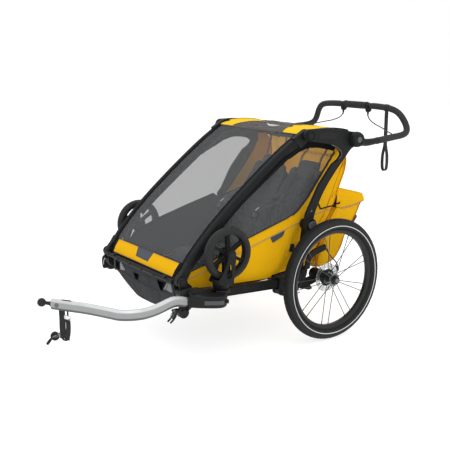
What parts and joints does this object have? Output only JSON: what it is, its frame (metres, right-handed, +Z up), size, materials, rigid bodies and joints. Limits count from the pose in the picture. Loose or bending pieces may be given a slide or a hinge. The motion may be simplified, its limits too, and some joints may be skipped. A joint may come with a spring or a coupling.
{
  "type": "child bike trailer",
  "caption": "Child bike trailer for two seated children: fabric cabin on a folding frame, large spoked wheels, stowed front casters, push bar and bent tow arm.",
  "frame": {"origin": "on the ground under the middle of the bounding box, hanging straps and coupling pin left out", "axes": "+Z up, -Y towards the bicycle (tow arm), +X to the trailer's left"},
  "size_m": [0.817, 1.6288, 0.93],
  "materials": {
    "frame_tube": "satin black powder coat",
    "frame_plastic": "fine matte grain",
    "axle_steel": "satin black",
    "tyre_rubber": "matte, worn tread",
    "rim_alloy": "black anodised",
    "hub_alloy": "satin",
    "disc_steel": "brushed",
    "button_plastic": "matte grey",
    "knob_plastic": "matte",
    "grip_rubber": "matte rubber",
    "cable_rubber": "smooth cable sheath",
    "webbing": "woven webbing",
    "arm_alloy": "satin, bead blasted",
    "hitch_rubber": "smooth",
    "pin_steel": "satin",
    "window_mesh": "dark see-through mesh",
    "roof_fabric": "dark mesh with coloured corners",
    "side_fabric": "woven, coated",
    "bag_fabric": "woven, coated",
    "tub_fabric": "heavy coated fabric",
    "seat_fabric": "padded fabric"
  },
  "bodies": {
    "base": {"side_rail_left": "frame_tube", "side_rail_right": "frame_tube", "front_crossbar": "frame_tube", "rear_crossmember": "frame_tube", "rear_bracket_left": "frame_plastic", "rear_bracket_right": "frame_plastic", "wing_left": "frame_plastic", "wing_right": "frame_plastic", "floor_pan": "tub_fabric", "seat_cushion": "seat_fabric", "seat_back": "seat_fabric", "side_panel_left": "side_fabric", "side_panel_right": "side_fabric", "cargo_bag": "bag_fabric"},
    "front_frame": {"front_pillar_left": "frame_tube", "front_pillar_right": "frame_tube", "front_cover": "window_mesh", "front_top_bar": "frame_tube"},
    "rear_frame": {"top_bracket_left": "frame_plastic", "top_bracket_right": "frame_plastic", "rear_crossbar": "frame_tube", "roof_canopy": "roof_fabric"},
    "rear_stays": {"rear_stay_left": "frame_tube", "rear_stay_right": "frame_tube"},
    "handlebar": {"handlebar_tube": "frame_tube", "brake_cable_left": "cable_rubber", "brake_cable_right": "cable_rubber", "wrist_strap": "webbing"},
    "twist_grip": {"twist_grip": "grip_rubber"},
    "tow_arm": {"tow_arm": "arm_alloy", "hitch_ball": "hitch_rubber", "safety_strap": "webbing", "coupling_pin": "pin_steel"},
    "receiver_latch": {"receiver_latch": "frame_plastic"},
    "fold_knob_left": {"fold_knob_left": "knob_plastic"},
    "tilt_button_left": {"tilt_button_left": "button_plastic"},
    "suspension_left": {"swing_arm_left": "axle_steel", "brake_caliper_left": "frame_plastic", "caliper_cable_left": "cable_rubber"},
    "wheel_left": {"tyre_left": "tyre_rubber", "rim_left": "rim_alloy", "hub_left": "hub_alloy", "brake_disc_left": "disc_steel"},
    "wheel_button_left": {"wheel_button_left": "button_plastic"},
    "caster_left": {"caster_fork_left": "frame_plastic"},
    "caster_wheel_left": {"caster_wheel_left": "tyre_rubber"},
    "fold_knob_right": {"fold_knob_right": "knob_plastic"},
    "tilt_button_right": {"tilt_button_right": "button_plastic"},
    "suspension_right": {"swing_arm_right": "axle_steel", "brake_caliper_right": "frame_plastic", "caliper_cable_right": "cable_rubber"},
    "wheel_right": {"tyre_right": "tyre_rubber", "rim_right": "rim_alloy", "hub_right": "hub_alloy", "brake_disc_right": "disc_steel"},
    "wheel_button_right": {"wheel_button_right": "button_plastic"},
    "caster_right": {"caster_fork_right": "frame_plastic"},
    "caster_wheel_right": {"caster_wheel_right": "tyre_rubber"}
  },
  "joints": [
    {"name": "fold", "type": "hinge", "parent": "base", "child": "front_frame", "pos_m": [0, -0.3553, 0.333], "axis": [-1, 0, 0], "range_deg": [0, 24.4], "deforming": ["seat_back", "side_panel_left", "side_panel_right", "cargo_bag"]},
    {"name": "upper_fold", "type": "hinge", "parent": "front_frame", "child": "rear_frame", "pos_m": [0, 0.2317, 0.831], "axis": [-1, 0, 0], "range_deg": [0, 42.9]},
    {"name": "stay_fold", "type": "hinge", "parent": "base", "child": "rear_stays", "pos_m": [0, 0.2157, 0.288], "axis": [1, 0, 0], "range_deg": [0, 65.7]},
    {"name": "handlebar_tilt", "type": "hinge", "parent": "rear_frame", "child": "handlebar", "pos_m": [0, 0.4727, 0.803], "axis": [1, 0, 0], "range_deg": [-25, 150]},
    {"name": "parking_brake", "type": "hinge", "parent": "handlebar", "child": "twist_grip", "pos_m": [0, 0.7777, 0.9135], "axis": [1, 0, 0], "range_deg": [0, 40]},
    {"name": "tow_arm_slide", "type": "slide", "parent": "base", "child": "tow_arm", "axis": [0, -1, 0], "range_m": [0, 0.12]},
    {"name": "latch_release", "type": "hinge", "parent": "base", "child": "receiver_latch", "pos_m": [0.318, -0.4028, 0.24], "axis": [-1, 0, 0], "range_deg": [0, 35], "stiffness_Nm_per_rad": 0.5, "springref_deg": -17.19},
    {"name": "fold_knob_pull_left", "type": "slide", "parent": "rear_frame", "child": "fold_knob_left", "axis": [1, 0, 0], "range_m": [0, 0.008], "stiffness_N_per_m": 400, "springref_m": -0.004},
    {"name": "tilt_button_press_left", "type": "slide", "parent": "handlebar", "child": "tilt_button_left", "axis": [-1, 0, 0], "range_m": [0, 0.004], "stiffness_N_per_m": 800, "springref_m": -0.002},
    {"name": "suspension_travel_left", "type": "hinge", "parent": "base", "child": "suspension_left", "pos_m": [0.277, 0.1627, 0.235], "axis": [1, 0, 0], "range_deg": [0, 8], "stiffness_Nm_per_rad": 150, "springref_deg": -11.46, "deforming": ["caliper_cable_left"]},
    {"name": "wheel_spin_left", "type": "hinge", "parent": "suspension_left", "child": "wheel_left", "pos_m": [0.365, 0.3177, 0.25], "axis": [1, 0, 0], "continuous": true},
    {"name": "wheel_button_press_left", "type": "slide", "parent": "wheel_left", "child": "wheel_button_left", "axis": [-1, 0, 0], "range_m": [0, 0.003], "stiffness_N_per_m": 800, "springref_m": -0.002},
    {"name": "caster_out_left", "type": "slide", "parent": "base", "child": "caster_left", "axis": [0, 0, 1], "range_m": [0, 0.06]},
    {"name": "caster_spin_left", "type": "hinge", "parent": "caster_left", "child": "caster_wheel_left", "pos_m": [0.335, -0.1813, 0.424], "axis": [1, 0, 0], "continuous": true},
    {"name": "fold_knob_pull_right", "type": "slide", "parent": "rear_frame", "child": "fold_knob_right", "axis": [-1, 0, 0], "range_m": [0, 0.008], "stiffness_N_per_m": 400, "springref_m": -0.004},
    {"name": "tilt_button_press_right", "type": "slide", "parent": "handlebar", "child": "tilt_button_right", "axis": [1, 0, 0], "range_m": [0, 0.004], "stiffness_N_per_m": 800, "springref_m": -0.002},
    {"name": "suspension_travel_right", "type": "hinge", "parent": "base", "child": "suspension_right", "pos_m": [-0.277, 0.1627, 0.235], "axis": [1, 0, 0], "range_deg": [0, 8], "stiffness_Nm_per_rad": 150, "springref_deg": -11.46, "deforming": ["caliper_cable_right"]},
    {"name": "wheel_spin_right", "type": "hinge", "parent": "suspension_right", "child": "wheel_right", "pos_m": [-0.365, 0.3177, 0.25], "axis": [1, 0, 0], "continuous": true},
    {"name": "wheel_button_press_right", "type": "slide", "parent": "wheel_right", "child": "wheel_button_right", "axis": [1, 0, 0], "range_m": [0, 0.003], "stiffness_N_per_m": 800, "springref_m": -0.002},
    {"name": "caster_out_right", "type": "slide", "parent": "base", "child": "caster_right", "axis": [0, 0, 1], "range_m": [0, 0.06]},
    {"name": "caster_spin_right", "type": "hinge", "parent": "caster_right", "child": "caster_wheel_right", "pos_m": [-0.335, -0.1813, 0.424], "axis": [1, 0, 0], "continuous": true}
  ],
  "couplings": [
    {"joint": "upper_fold", "follows": "fold", "ratio": 1.7461},
    {"joint": "stay_fold", "follows": "fold", "ratio": 2.682}
  ]
}
